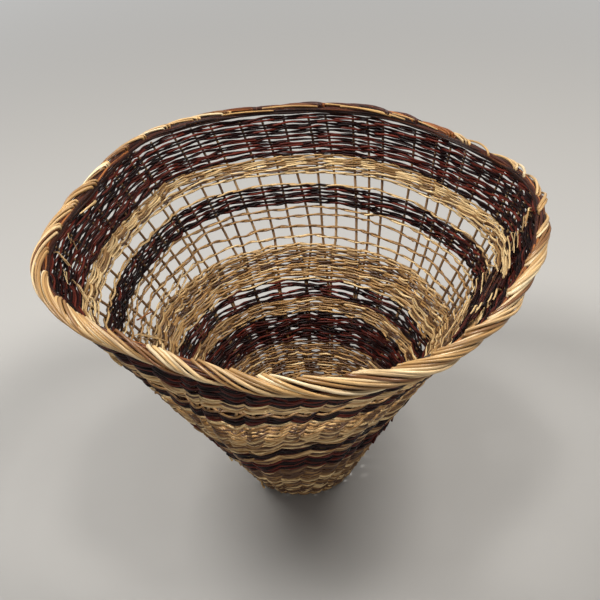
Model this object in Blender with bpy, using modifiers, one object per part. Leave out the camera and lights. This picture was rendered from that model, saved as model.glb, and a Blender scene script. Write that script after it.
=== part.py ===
"""A burden basket: long rods crossed under the base and turned up into a flaring wall,
bands of pale and dark weaving with open rows between them, and a rope-twisted border."""

import math

import bmesh
import bpy
from mathutils import Vector

# Space left between neighbouring pieces.
CLEARANCE = 0.0003

# Space left above and below each woven layer, where neighbouring layers lean unlike ways.
LAYER_SPACE = 0.0005

# The wall, from the bend at the base to the middle of the border. The shifts set the base and
# the mouth in plan, and the stakes lean round by a share of a full turn on their way up.
MOUTH_RADIUS = 0.250
MOUTH_HEIGHT = 0.357
BASE_RADIUS = 0.0625
MOUTH_SHIFT = Vector((0.0058, 0.0032, 0.0))
BASE_SHIFT = Vector((-0.0072, 0.0042, 0.0))
WALL_LEAN_TURN_SHARE = 0.056

# The mouth isn't a true circle. Each row has the lobe count, then its cosine and sine parts:
# the outline's parts are shares of the radius, the height's parts shares of the mouth height.
OUTLINE_SHARES = (
    (2, 0.006, -0.004),
    (3, -0.013, -0.005),
    (4, 0.002, 0.041),
    (5, 0.0, -0.020),
)
RIM_WAVE_SHARES = (
    (2, 0.015, -0.020),
    (3, -0.002, -0.004),
    (4, 0.008, -0.005),
    (5, 0.013, -0.002),
)

# The side that hangs lowest isn't a straight flare: half way up it swells and is pressed in. Each
# row has the lobe count, then its cosine and sine parts, as shares of the depth.
BELLY_DEPTH = 0.012
BELLY_SHARES = (
    (0, -0.28, 0.0),
    (1, -0.09, 0.40),
    (2, -0.30, 0.92),
)

# The woven rows rise and dip along that side. The height is a share of the wall's.
ROW_SWING_SHARE = 0.045
ROW_SWING_COUNT = 4
ROW_SWING_TURN_SHARE = 0.736

# Shallow folds in the lower wall, deepest on the side that hangs lowest.
FOLD_DEPTH = 0.0035
FOLD_COUNT = 9
FOLD_TURN_SHARE = -0.264

# The rods. Each crosses the base and gives two stakes of the wall, which bend at the stations.
# The pairs open to single stakes between the foot and top of the opening. All are shares of the
# wall's height.
ROD_RADIUS = 0.0015
PAIRS_PER_SIDE = 7
STAKE_STATION_SHARES = (0.0, 0.186, 0.42, 0.60, 0.79)
OPENING_FOOT_SHARE = 0.42
OPENING_TOP_SHARE = 0.60

# The flat woven rounds that hold the fanned rods above and below. The shares are of the way
# from the crossing's corners out to the base bend: where the upper rods have come down, and
# where the rounds begin.
ROUND_THICKNESS = 0.0022
ROUND_RIM_INSET = 0.003
ROUND_STEPS = 40
SETTLE_SHARE = 0.272
ROUND_INNER_SHARE = 0.334

# The woven layers and their thickness. Each row has a layer's foot and top as shares of the
# wall's height, what it passes in front of and behind in turn, and its finish.
WEFT_THICKNESS = 0.0016
BAND_SHARES = (
    ("foot_weave_1", 0.030, 0.108, "pairs", "pale_weft"),
    ("foot_weave_2", 0.108, 0.186, "pairs", "pale_weft"),
    ("lower_weave_pale", 0.186, 0.266, "pairs", "pale_weft"),
    ("lower_weave_dark_1", 0.266, 0.312, "pairs", "dark_weft"),
    ("lower_weave_dark_2", 0.312, 0.358, "pairs", "dark_weft"),
    ("middle_weave_pale", 0.358, 0.407, "pairs", "pale_weft"),
    ("dark_line_lower", 0.407, 0.416, "pairs", "dark_weft"),
    ("dark_line_upper", 0.438, 0.461, "opening", "dark_weft"),
    ("broad_weave_pale_1", 0.461, 0.516, "opening", "pale_weft"),
    ("broad_weave_pale_2", 0.516, 0.571, "stakes", "pale_weft"),
    ("lattice_row_1", 0.600, 0.608, "stakes", "pale_weft"),
    ("lattice_row_2", 0.632, 0.640, "stakes", "pale_weft"),
    ("lattice_row_3", 0.665, 0.673, "stakes", "pale_weft"),
    ("dark_band_lower_edge", 0.694, 0.704, "stakes", "pale_weft"),
    ("dark_band", 0.704, 0.766, "stakes", "dark_weft"),
    ("dark_band_upper_edge", 0.766, 0.776, "stakes", "pale_weft"),
    ("upper_weave_pale_1", 0.803, 0.821, "stakes", "pale_weft"),
    ("upper_weave_pale_2", 0.833, 0.858, "stakes", "pale_weft"),
    ("rim_weave_dark_1", 0.858, 0.903, "stakes", "dark_weft"),
    ("rim_weave_dark_2", 0.903, 1.0, "stakes", "dark_weft"),
)

# The rod laid round the inside under the border.
WALE_RADIUS = 0.0021

# The border: bundles of rods twisted round the mouth like a rope.
BORDER_STRAND_RADIUS = 0.0042
BORDER_STRANDS = 4
BORDER_TURNS = 7
STATIONS_PER_TURN = 8

# Finishes: colour, roughness.
FINISHES = {
    "peeled_rod": ((0.60, 0.42, 0.22, 1.0), 0.55),
    "pale_weft": ((0.66, 0.48, 0.26, 1.0), 0.60),
    "dark_weft": ((0.075, 0.022, 0.022, 1.0), 0.45),
    "red_core": ((0.30, 0.095, 0.04, 1.0), 0.50),
    "border_willow": ((0.78, 0.60, 0.36, 1.0), 0.50),
}

# Worked out from the sizes above.
STAKES_PER_SIDE = 2 * PAIRS_PER_SIDE
STAKES = 4 * STAKES_PER_SIDE
ROD_PITCH = 2 * ROD_RADIUS + CLEARANCE
ROD_LEVEL = ROUND_THICKNESS + CLEARANCE + ROD_RADIUS
UPPER_ROD_LEVEL = ROD_LEVEL + ROD_PITCH
CROSS_HALF_WIDTH = (STAKES_PER_SIDE - 1) / 2 * ROD_PITCH
FAN_RADIUS = math.hypot(CROSS_HALF_WIDTH + ROD_PITCH, CROSS_HALF_WIDTH)
ROUND_INNER_RADIUS = FAN_RADIUS + (BASE_RADIUS - FAN_RADIUS) * ROUND_INNER_SHARE
ROUND_OUTER_RADIUS = BASE_RADIUS - ROUND_RIM_INSET
WALL_RISE = MOUTH_HEIGHT - ROD_LEVEL
WALL_SLANT = math.hypot(MOUTH_RADIUS - BASE_RADIUS, WALL_RISE)
WEAVE_OFFSET = ROD_RADIUS + CLEARANCE + WEFT_THICKNESS / 2
BORDER_STATIONS = BORDER_TURNS * STATIONS_PER_TURN
BORDER_CHORD_SHARE = math.cos(math.pi / STATIONS_PER_TURN)
STRAND_SLANT = math.cos(
    math.atan(BORDER_TURNS * 2 * BORDER_STRAND_RADIUS / MOUTH_RADIUS)
)
BORDER_ORBIT = (2 * BORDER_STRAND_RADIUS + CLEARANCE) / (
    2 * math.sin(math.pi / BORDER_STRANDS) * BORDER_CHORD_SHARE * STRAND_SLANT
)
BORDER_RADIUS = BORDER_ORBIT + BORDER_STRAND_RADIUS


def clear_scene():
    """Removes whatever the scene holds."""
    for item in list(bpy.data.objects):
        bpy.data.objects.remove(item, do_unlink=True)


def make_finish(name):
    """The material of a finish: its colour and roughness, with no metal in it."""
    colour, roughness = FINISHES[name]
    finish = bpy.data.materials.new(name)
    finish.use_nodes = True
    shader = finish.node_tree.nodes["Principled BSDF"]
    shader.inputs["Base Color"].default_value = colour
    shader.inputs["Roughness"].default_value = roughness
    shader.inputs["Metallic"].default_value = 0.0
    finish.diffuse_color = colour
    return finish


def harmonics(angle, shares):
    """The sum of an outline's lobes at an angle."""
    return sum(
        across * math.cos(count * angle) + along * math.sin(count * angle)
        for count, across, along in shares
    )


def low_side(angle):
    """How near an angle is to the side that hangs lowest: 1 there and 0 opposite."""
    return (1 - math.sin(angle)) / 2


def belly(angle, level):
    """How far the low side swells or is pressed in."""
    rise = math.sin(math.pi * level)
    return BELLY_DEPTH * low_side(angle) * rise * harmonics(angle, BELLY_SHARES)


def fold(angle, level):
    """How far the wall stands out of its smooth shape, for the folds of the lower wall."""
    rise = math.sin(math.pi * level) ** 2
    turn = FOLD_COUNT * (angle - 2 * math.pi * FOLD_TURN_SHARE)
    return -FOLD_DEPTH * low_side(angle) * rise * math.cos(turn)


def row_swing(angle, level):
    """How far a woven row rises or dips at an angle, in levels."""
    near = max(-math.sin(angle), 0.0)
    turn = ROW_SWING_COUNT * (angle - 2 * math.pi * ROW_SWING_TURN_SHARE)
    return ROW_SWING_SHARE * near * math.sin(math.pi * level) * math.cos(turn)


def wall_centre(level):
    """The middle of the wall's outline in plan at a level."""
    return BASE_SHIFT.lerp(MOUTH_SHIFT, level)


def wall_point(level, angle):
    """A point on the middle of the wall. Level is 0 at the base bend and 1 at the border's middle."""
    flare = BASE_RADIUS + (MOUTH_RADIUS - BASE_RADIUS) * level
    radius = flare * (1 + level**2 * harmonics(angle, OUTLINE_SHARES))
    radius += belly(angle, level) + fold(angle, level)
    rise = WALL_RISE * level + level**2 * MOUTH_HEIGHT * harmonics(angle, RIM_WAVE_SHARES)
    return wall_centre(level) + Vector(
        (radius * math.cos(angle), radius * math.sin(angle), ROD_LEVEL + rise)
    )


def wall_normal(level, angle):
    """The outward direction square to the wall."""
    turn = math.pi / STAKES
    step = 1 / STAKES
    around = wall_point(level, angle + turn) - wall_point(level, angle - turn)
    up = wall_point(level + step, angle) - wall_point(level - step, angle)
    return around.cross(up).normalized()


def pair_angle(pair):
    """The angle of a pair of stakes at the base. Pair 0 is the first past the -X, -Y corner."""
    return 2 * math.pi * ((pair + 0.5) / (4 * PAIRS_PER_SIDE) - 1 / 8)


def stake_angle(stake, level):
    """A stake's angle: paired low down, evenly spread above, leaning all the way."""
    radius = BASE_RADIUS + (MOUTH_RADIUS - BASE_RADIUS) * level
    closed = ROD_PITCH / 2 / radius
    spread = math.pi / STAKES
    opening = (level - OPENING_FOOT_SHARE) / (OPENING_TOP_SHARE - OPENING_FOOT_SHARE)
    opening = min(max(opening, 0.0), 1.0)
    half = closed + (spread - closed) * opening
    side = 2 * (stake % 2) - 1
    lean = 2 * math.pi * WALL_LEAN_TURN_SHARE * level
    return pair_angle(stake // 2 % (STAKES // 2)) + side * half + lean


def rim_frame(angle):
    """The middle of the border at an angle, with its outward and upward directions."""
    step = math.pi / BORDER_STATIONS
    centre = wall_point(1.0, angle)
    along = (wall_point(1.0, angle + step) - wall_point(1.0, angle - step)).normalized()
    outward = along.cross(Vector((0.0, 0.0, 1.0))).normalized()
    return centre, outward, outward.cross(along)


def level_under_rim(angle, distance):
    """The level that lies a distance under the border's middle, measured square to the border."""
    centre, outward, upward = rim_frame(angle)
    step = 1 / STAKES
    run = (centre - wall_point(1 - step, angle)) / step
    return 1 - distance / math.hypot(run.dot(outward), run.dot(upward))


def band_level(share, stake):
    """The level of a band's edge at a stake. A share of 1 is just under the wale."""
    if share < 1:
        return share + row_swing(stake_angle(stake, share), share)
    drop = BORDER_RADIUS + 2 * CLEARANCE + 2 * WALE_RADIUS
    return level_under_rim(stake_angle(stake, 1.0), drop)


def stake_station(stake, level):
    """A point on the middle of the wall at a stake."""
    return wall_point(level, stake_angle(stake, level))


def stake_levels(stake):
    """The levels where a stake bends. The last is its top, under the border."""
    top = level_under_rim(stake_angle(stake, 1.0), BORDER_RADIUS + CLEARANCE)
    return STAKE_STATION_SHARES + (top,)


def stake_path(stake):
    """A stake from the base bend to its top."""
    return [stake_station(stake, level) for level in stake_levels(stake)]


def stake_point(stake, level):
    """Where a stake's straight stretches pass a level of the wall."""
    levels = stake_levels(stake)
    index = max(i for i in range(len(levels) - 1) if levels[i] <= level)
    low, high = levels[index], levels[index + 1]
    share = (level - low) / (high - low)
    return stake_station(stake, low).lerp(stake_station(stake, high), share)


def fan_point(along, across, turned):
    """A point of the crossing in plan, for rods that run along X or, turned, along Y."""
    return (across, along) if turned else (along, across)


def rod_path(rod):
    """One rod from its first stake's top, down, across the base and up to its other stake's top."""
    turned = rod >= STAKES_PER_SIDE
    place = rod % STAKES_PER_SIDE
    last = STAKES_PER_SIDE - 1
    if turned:
        far_stake = STAKES_PER_SIDE + last - place
        near_stake = 3 * STAKES_PER_SIDE + place
        level = UPPER_ROD_LEVEL
    else:
        far_stake = place
        near_stake = 2 * STAKES_PER_SIDE + last - place
        level = ROD_LEVEL
    across = (place - last / 2) * ROD_PITCH
    reach = math.sqrt(FAN_RADIUS**2 - across**2)
    shift = Vector((BASE_SHIFT.x, BASE_SHIFT.y, level))
    inner = {}
    for name, direction in (("far", 1), ("near", -1)):
        plan = fan_point(direction * reach, across, turned)
        inner[name] = shift + Vector((plan[0], plan[1], 0.0))
    near, far = stake_path(near_stake), stake_path(far_stake)
    crossing = [inner["near"], inner["far"]]
    if turned:
        crossing = [settle(near[0], inner["near"])] + crossing + [settle(far[0], inner["far"])]
    return near[::-1] + crossing + far


def settle(foot, inner):
    """Where an upper rod has come down to the lower rods' level on its way to the base bend."""
    point = inner.lerp(foot, SETTLE_SHARE)
    point.z = foot.z
    return point


def weave_vertices(share, gap, grouping):
    """Where a layer's edge bends: each point, its level, its side (1 outside, -1 inside), its rods."""
    levels = [band_level(share, stake) + gap for stake in range(STAKES)]
    points = [stake_point(stake, level) for stake, level in enumerate(levels)]
    if grouping == "pairs":
        vertices = []
        for pair in range(STAKES // 2):
            rods = points[2 * pair : 2 * pair + 2]
            middle = rods[0].lerp(rods[1], 0.5)
            vertices.append((middle, levels[2 * pair], 1 - 2 * (pair % 2), rods))
        return vertices
    run = 2 if grouping == "opening" else 1
    return [
        (point, level, 1 - 2 * (stake // run % 2), [point])
        for stake, (point, level) in enumerate(zip(points, levels))
    ]


def weave_offset(vertices, index, outward):
    """How far the layer stands off at one bend so that it clears each rod it crosses there."""
    point, _, side, rods = vertices[index]
    reach, bulge, spacing = 0.0, 0.0, 2 * MOUTH_RADIUS
    for other, _, other_side, _ in (vertices[index - 1], vertices[(index + 1) % len(vertices)]):
        if other_side == side:
            continue
        chord = other - point
        spacing = min(spacing, chord.length)
        for rod in rods:
            along = (rod - point).dot(chord) / chord.length_squared
            stray = (rod - point - chord * along).dot(outward)
            reach = max(reach, along * chord.length)
            bulge = max(bulge, abs(stray))
    clear = WEAVE_OFFSET + bulge
    return clear / math.sqrt((1 - 2 * reach / spacing) ** 2 - (2 * clear / spacing) ** 2)


def weave_loop(share, gap, grouping, phase):
    """One edge of a woven layer: a zigzag in front of one rod or pair and behind the next."""
    vertices = weave_vertices(share, gap, grouping)
    loop = []
    for index, (point, level, side, _) in enumerate(vertices):
        arm = point - wall_centre(level)
        outward = wall_normal(level, math.atan2(arm.y, arm.x))
        loop.append(point + outward * (side * phase * weave_offset(vertices, index, outward)))
    return loop


def make_band(name, foot, top, grouping, phase, finish):
    """A woven layer: a zigzag loop run up the wall, thickened on both sides."""
    gap = LAYER_SPACE / WALL_SLANT
    mesh = bpy.data.meshes.new(name)
    form = bmesh.new()
    lower = [form.verts.new(p) for p in weave_loop(foot, gap, grouping, phase)]
    count = len(lower)
    edges = [form.edges.new((lower[i], lower[(i + 1) % count])) for i in range(count)]
    raised = bmesh.ops.extrude_edge_only(form, edges=edges)
    upper_loop = weave_loop(top, -gap, grouping, phase)
    places = {tuple(vert.co): index for index, vert in enumerate(lower)}
    for item in raised["geom"]:
        if isinstance(item, bmesh.types.BMVert):
            item.co = upper_loop[places[tuple(item.co)]]
    bmesh.ops.recalc_face_normals(form, faces=form.faces)
    form.to_mesh(mesh)
    form.free()
    band = bpy.data.objects.new(name, mesh)
    thickness = band.modifiers.new("thickness", "SOLIDIFY")
    thickness.thickness = WEFT_THICKNESS
    thickness.offset = 0.0
    thickness.use_even_offset = True
    thickness.use_quality_normals = True
    mesh.materials.append(finish)
    return band


def make_rod(name, points, radius, finish, closed=False):
    """A round rod along a path, capped at its ends unless it is a closed ring."""
    curve = bpy.data.curves.new(name, "CURVE")
    curve.dimensions = "3D"
    curve.bevel_depth = radius
    curve.bevel_resolution = 1
    curve.use_fill_caps = not closed
    spline = curve.splines.new("POLY")
    spline.points.add(len(points) - 1)
    for target, point in zip(spline.points, points):
        target.co = (point.x, point.y, point.z, 1.0)
    spline.use_cyclic_u = closed
    curve.materials.append(finish)
    return bpy.data.objects.new(name, curve)


def make_round(name, bottom, finish):
    """A flat woven ring, turned from a profile that runs down its outer side."""
    inner = ROUND_INNER_RADIUS
    outer = ROUND_OUTER_RADIUS
    crown = ROUND_THICKNESS / 4
    top = bottom + ROUND_THICKNESS
    profile = (
        (inner, top - crown),
        (inner + crown, top),
        (outer - crown, top),
        (outer, top - crown),
        (outer, bottom),
        (inner, bottom),
    )
    mesh = bpy.data.meshes.new(name)
    count = len(profile)
    mesh.from_pydata(
        [(radius, 0.0, height) for radius, height in profile],
        [(i, (i + 1) % count) for i in range(count)],
        [],
    )
    ring = bpy.data.objects.new(name, mesh)
    turning = ring.modifiers.new("turning", "SCREW")
    turning.axis = "Z"
    turning.steps = ROUND_STEPS
    turning.render_steps = ROUND_STEPS
    turning.use_merge_vertices = True
    turning.merge_threshold = CLEARANCE / 10
    ring.location = (BASE_SHIFT.x, BASE_SHIFT.y, 0.0)
    mesh.materials.append(finish)
    return ring


def strand_path(strand):
    """One strand of the rope border: inside the mouth, over the top and down outside, again and again."""
    points = []
    for station in range(BORDER_STATIONS):
        turn = 2 * math.pi * station / BORDER_STATIONS
        phase = 2 * math.pi * strand / BORDER_STRANDS - BORDER_TURNS * turn
        centre, outward, upward = rim_frame(turn)
        arm = outward * math.cos(phase) + upward * math.sin(phase)
        points.append(centre + arm * BORDER_ORBIT)
    return points


def wale_path():
    """The rod under the border, laid against the stakes on the inside."""
    inset = ROD_RADIUS + CLEARANCE + WALE_RADIUS
    drop = BORDER_RADIUS + CLEARANCE + WALE_RADIUS
    points = []
    for stake in range(STAKES):
        level = level_under_rim(stake_angle(stake, 1.0), drop)
        angle = stake_angle(stake, level)
        points.append(stake_point(stake, level) - wall_normal(level, angle) * inset)
    return points


def build():
    """Makes every piece of the basket and links it into the basket's collection."""
    clear_scene()
    basket = bpy.data.collections.new("burden_basket")
    bpy.context.scene.collection.children.link(basket)
    finishes = {name: make_finish(name) for name in FINISHES}
    pieces = []

    upper_bottom = ROD_LEVEL + ROD_RADIUS + CLEARANCE
    weft = finishes["pale_weft"]
    pieces.append(make_round("base_round_lower", 0.0, weft))
    pieces.append(make_round("base_round_upper", upper_bottom, weft))

    for rod in range(STAKES // 2):
        name = f"stake_rod_{rod + 1:02d}"
        pieces.append(make_rod(name, rod_path(rod), ROD_RADIUS, finishes["peeled_rod"]))

    for index, (name, foot, top, grouping, finish) in enumerate(BAND_SHARES):
        phase = 1 - 2 * (index % 2)
        pieces.append(make_band(name, foot, top, grouping, phase, finishes[finish]))

    pieces.append(make_rod("rim_wale", wale_path(), WALE_RADIUS, finishes["red_core"], True))
    for strand in range(BORDER_STRANDS):
        name = f"border_strand_{strand + 1}"
        willow = finishes["border_willow"]
        pieces.append(
            make_rod(name, strand_path(strand), BORDER_STRAND_RADIUS, willow, True)
        )

    for piece in pieces:
        basket.objects.link(piece)


build()
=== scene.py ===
"""The looks of a wickerwork burden basket, rod by rod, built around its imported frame."""

import logging
import math
from dataclasses import dataclass, field
from enum import Enum
from functools import cached_property

import bpy
import numpy as np
from mathutils import Matrix, Vector
from numpy.typing import NDArray


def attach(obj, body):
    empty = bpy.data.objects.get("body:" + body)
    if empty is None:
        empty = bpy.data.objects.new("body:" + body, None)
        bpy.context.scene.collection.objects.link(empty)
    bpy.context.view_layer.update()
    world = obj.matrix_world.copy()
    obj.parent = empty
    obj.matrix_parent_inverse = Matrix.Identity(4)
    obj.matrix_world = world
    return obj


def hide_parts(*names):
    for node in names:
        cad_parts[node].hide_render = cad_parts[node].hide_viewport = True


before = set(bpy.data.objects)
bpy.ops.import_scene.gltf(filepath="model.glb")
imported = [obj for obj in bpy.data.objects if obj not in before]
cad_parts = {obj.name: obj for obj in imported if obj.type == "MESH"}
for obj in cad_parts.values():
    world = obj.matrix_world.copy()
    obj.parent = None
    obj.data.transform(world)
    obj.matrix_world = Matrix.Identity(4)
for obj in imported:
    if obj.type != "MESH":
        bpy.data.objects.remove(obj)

Array = NDArray[np.float64]
Colour = tuple[float, float, float]
Shares = tuple[tuple[int, float, float], ...]
Lobes = tuple[int, int]
Range = tuple[float, float]
Place = tuple[float, float, float]

TURN = 2 * math.pi
UP = np.array([0.0, 0.0, 1.0])
SEEDS = 2**31
BAND_SEED = 100
ENDS_SEED = 300
UV_NAME = "OFBake"
LOG = logging.getLogger("burden_basket")


class Lay(Enum):
    """What a woven rod passes in front of and behind in turn."""

    PAIRS = "pairs of stakes"
    OPENING = "pairs that are opening"
    STAKES = "single stakes"


class Grain(Enum):
    """How a rod's surface is finished."""

    PEELED = "peeled white, with fine grain lines"
    BARK = "bark left on, with scuffs and pores"


def unit(vectors: Array) -> Array:
    """Each vector of an array at length one."""
    return vectors / np.linalg.norm(vectors, axis=-1, keepdims=True)


def drawn_seed(rng: np.random.Generator) -> int:
    """A seed for a wander that several rods share."""
    return int(rng.integers(1, SEEDS))


def harmonics(angle: Array, shares: Shares) -> Array:
    """The lobes of a round outline.

    Args:
        angle: Angles round the basket.
        shares: Each lobe's count, cosine part and sine part.

    Returns:
        The sum of the lobes at each angle.
    """
    total = np.zeros_like(angle)
    for count, across, along in shares:
        total += across * np.cos(count * angle) + along * np.sin(count * angle)
    return total


def wander(rng: np.random.Generator, angle: Array, size: float, lobes: Lobes) -> Array:
    """A smooth random wave that closes round the basket.

    Args:
        rng: The source of the wave's sizes and turns.
        angle: Angles round the basket.
        size: About how far the wave strays.
        lobes: The fewest and the most lobes of its parts.

    Returns:
        The wave's height at each angle.
    """
    fewest, most = lobes
    total = np.zeros_like(angle)
    spread = size / math.sqrt(most - fewest + 1)
    for count in range(fewest, most + 1):
        total += rng.normal(0.0, spread) * np.cos(count * angle + rng.uniform(0.0, TURN))
    return total


@dataclass(frozen=True)
class Wall:
    """The wall's shape and where its stakes stand, as the frame has them.

    A level is 0 at the base bend and 1 at the middle of the border.
    """

    mouth_radius: float = 0.250
    mouth_height: float = 0.357
    base_radius: float = 0.0625
    rod_level: float = 0.004
    mouth_shift: tuple[float, float] = (0.0058, 0.0032)
    base_shift: tuple[float, float] = (-0.0072, 0.0042)
    lean_turn_share: float = 0.056
    outline_shares: Shares = (
        (2, 0.006, -0.004),
        (3, -0.013, -0.005),
        (4, 0.002, 0.041),
        (5, 0.0, -0.020),
    )
    rim_wave_shares: Shares = (
        (2, 0.015, -0.020),
        (3, -0.002, -0.004),
        (4, 0.008, -0.005),
        (5, 0.013, -0.002),
    )
    belly_depth: float = 0.012
    belly_shares: Shares = ((0, -0.28, 0.0), (1, -0.09, 0.40), (2, -0.30, 0.92))
    row_swing_share: float = 0.045
    row_swing_count: int = 4
    row_swing_turn_share: float = 0.736
    fold_depth: float = 0.0035
    fold_count: int = 9
    fold_turn_share: float = -0.264
    pairs: int = 28
    first_pair_turn_share: float = -0.125
    pair_pitch: float = 0.0033
    opening_foot: float = 0.42
    opening_top: float = 0.60
    border_radius: float = 0.0114
    probe: float = 0.004
    stake_stray: float = 0.021
    most_stake_stray: float = 0.036
    stake_seed: int = 5

    @cached_property
    def strays(self) -> Array:
        """How far the stakes stand out of their even places in the upper wall.

        Returns:
            Each stake's stray, as an angle.
        """
        rng = np.random.default_rng(self.stake_seed)
        strays = rng.normal(0.0, self.stake_stray, 2 * self.pairs)
        return np.clip(strays, -self.most_stake_stray, self.most_stake_stray)

    @property
    def rise(self) -> float:
        """The height from the base bend to the middle of the border."""
        return self.mouth_height - self.rod_level

    @property
    def slant(self) -> float:
        """The length up the wall from the base bend to the middle of the border."""
        return math.hypot(self.mouth_radius - self.base_radius, self.rise)

    def flare(self, level: Array | float) -> Array | float:
        """The wall's plain radius at a level, before its lobes and bulges."""
        return self.base_radius + (self.mouth_radius - self.base_radius) * level

    def point(self, level: Array, angle: Array) -> Array:
        """Points on the middle of the wall.

        Args:
            level: Levels up the wall.
            angle: Angles round it, one for each level.

        Returns:
            The points, one in each row.
        """
        low_side = (1 - np.sin(angle)) / 2
        turn = self.fold_count * (angle - TURN * self.fold_turn_share)
        fold = -self.fold_depth * low_side * np.sin(math.pi * level) ** 2 * np.cos(turn)
        bulge = harmonics(angle, self.belly_shares)
        belly = self.belly_depth * low_side * np.sin(math.pi * level) * bulge
        lobes = 1 + level**2 * harmonics(angle, self.outline_shares)
        radius = self.flare(level) * lobes + belly + fold
        wave = level**2 * self.mouth_height * harmonics(angle, self.rim_wave_shares)
        across = self.base_shift[0] + (self.mouth_shift[0] - self.base_shift[0]) * level
        along = self.base_shift[1] + (self.mouth_shift[1] - self.base_shift[1]) * level
        height = self.rod_level + self.rise * level + wave
        return np.stack([across + radius * np.cos(angle), along + radius * np.sin(angle), height], -1)

    def row_swing(self, level: float, angle: Array) -> Array:
        """How far a woven row rises or dips along the low side.

        Args:
            level: The row's level.
            angle: Angles round it.

        Returns:
            The rise at each angle, in levels.
        """
        turn = self.row_swing_count * (angle - TURN * self.row_swing_turn_share)
        rise = self.row_swing_share * math.sin(math.pi * level)
        return rise * np.clip(-np.sin(angle), 0.0, 1.0) * np.cos(turn)

    def upward(self, level: Array, angle: Array) -> Array:
        """The direction up the wall at each place."""
        return unit(self.point(level + self.probe, angle) - self.point(level - self.probe, angle))

    def outward(self, level: Array, angle: Array) -> Array:
        """The direction square to the wall, away from the inside, at each place."""
        around = self.point(level, angle + self.probe) - self.point(level, angle - self.probe)
        return unit(np.cross(around, self.upward(level, angle)))

    def place(self, level: Array, angle: Array, out: Array, up: Array) -> Array:
        """Points that stand off the middle of the wall.

        Args:
            level: Levels up the wall.
            angle: Angles round it.
            out: How far each point stands out, square to the wall.
            up: How far each point is moved up the wall.

        Returns:
            The points, one in each row.
        """
        level = level + up / self.slant
        return self.point(level, angle) + self.outward(level, angle) * out[..., None]

    def pair_angle(self, pair: Array) -> Array:
        """The angle of a pair of stakes at the base."""
        return TURN * ((pair + 0.5) / self.pairs + self.first_pair_turn_share)

    def stake_angle(self, stake: Array, level: Array) -> Array:
        """A stake's angle: paired low down, evenly spread above, leaning all the way.

        Args:
            stake: Whole stake numbers, of which two make a pair.
            level: Levels up the wall.

        Returns:
            The angle of each stake at its level.
        """
        closed = self.pair_pitch / 2 / self.flare(level)
        spread = TURN / (4 * self.pairs)
        opened = np.clip((level - self.opening_foot) / (self.opening_top - self.opening_foot), 0.0, 1.0)
        half = closed + (spread - closed) * opened
        side = 2 * np.mod(stake, 2) - 1
        stray = self.strays[np.mod(stake, 2 * self.pairs).astype(int)] * opened
        lean = TURN * self.lean_turn_share * level
        return self.pair_angle(np.floor(stake / 2)) + side * half + stray + lean

    def post_count(self, lay: Lay) -> int:
        """How many posts a woven rod passes in one turn."""
        return 2 * self.pairs if lay is Lay.STAKES else self.pairs

    def post_angle(self, lay: Lay, post: Array, level: Array) -> Array:
        """Angles along a woven row.

        Args:
            lay: What counts as a post.
            post: How many posts along the row, with the posts at whole numbers.
            level: The row's level at each place.

        Returns:
            The angle of each place.
        """
        if lay is not Lay.STAKES:
            return self.pair_angle(post) + TURN * self.lean_turn_share * level
        last = np.floor(post)
        share = post - last
        before = self.stake_angle(last, level)
        after = self.stake_angle(last + 1, level)
        return before + (after - before) * share

    def rim_frame(self, angle: Array) -> tuple[Array, Array, Array]:
        """The middle of the border with its outward and upward directions.

        Args:
            angle: Angles round the border.

        Returns:
            The middles, the outward directions and the upward directions.
        """
        top = np.ones_like(angle)
        along = unit(self.point(top, angle + self.probe) - self.point(top, angle - self.probe))
        outward = unit(np.cross(along, UP))
        return self.point(top, angle), outward, np.cross(outward, along)

    def rim_section(self, angle: Array, phase: Array, reach: Array) -> tuple[Array, Array]:
        """Points round the border's section.

        Args:
            angle: Angles round the mouth.
            phase: Angles round the section, from 0 at the outside.
            reach: How far each point is from the section's middle.

        Returns:
            The points, and the direction of each one from the middle.
        """
        centre, outward, upward = self.rim_frame(angle)
        arm = outward * np.cos(phase)[:, None] + upward * np.sin(phase)[:, None]
        return centre + arm * reach[:, None], arm

    def level_under_rim(self, angle: Array, distance: float) -> Array:
        """Where the wall lies a distance under the middle of the border.

        Args:
            angle: Angles round the mouth.
            distance: The distance down the wall.

        Returns:
            The wall's level at each angle.
        """
        centre, outward, upward = self.rim_frame(angle)
        step = 1 / (2 * self.pairs)
        run = (centre - self.point(np.full_like(angle, 1 - step), angle)) / step
        square = np.hypot((run * outward).sum(-1), (run * upward).sum(-1))
        return 1 - distance / square


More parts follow.
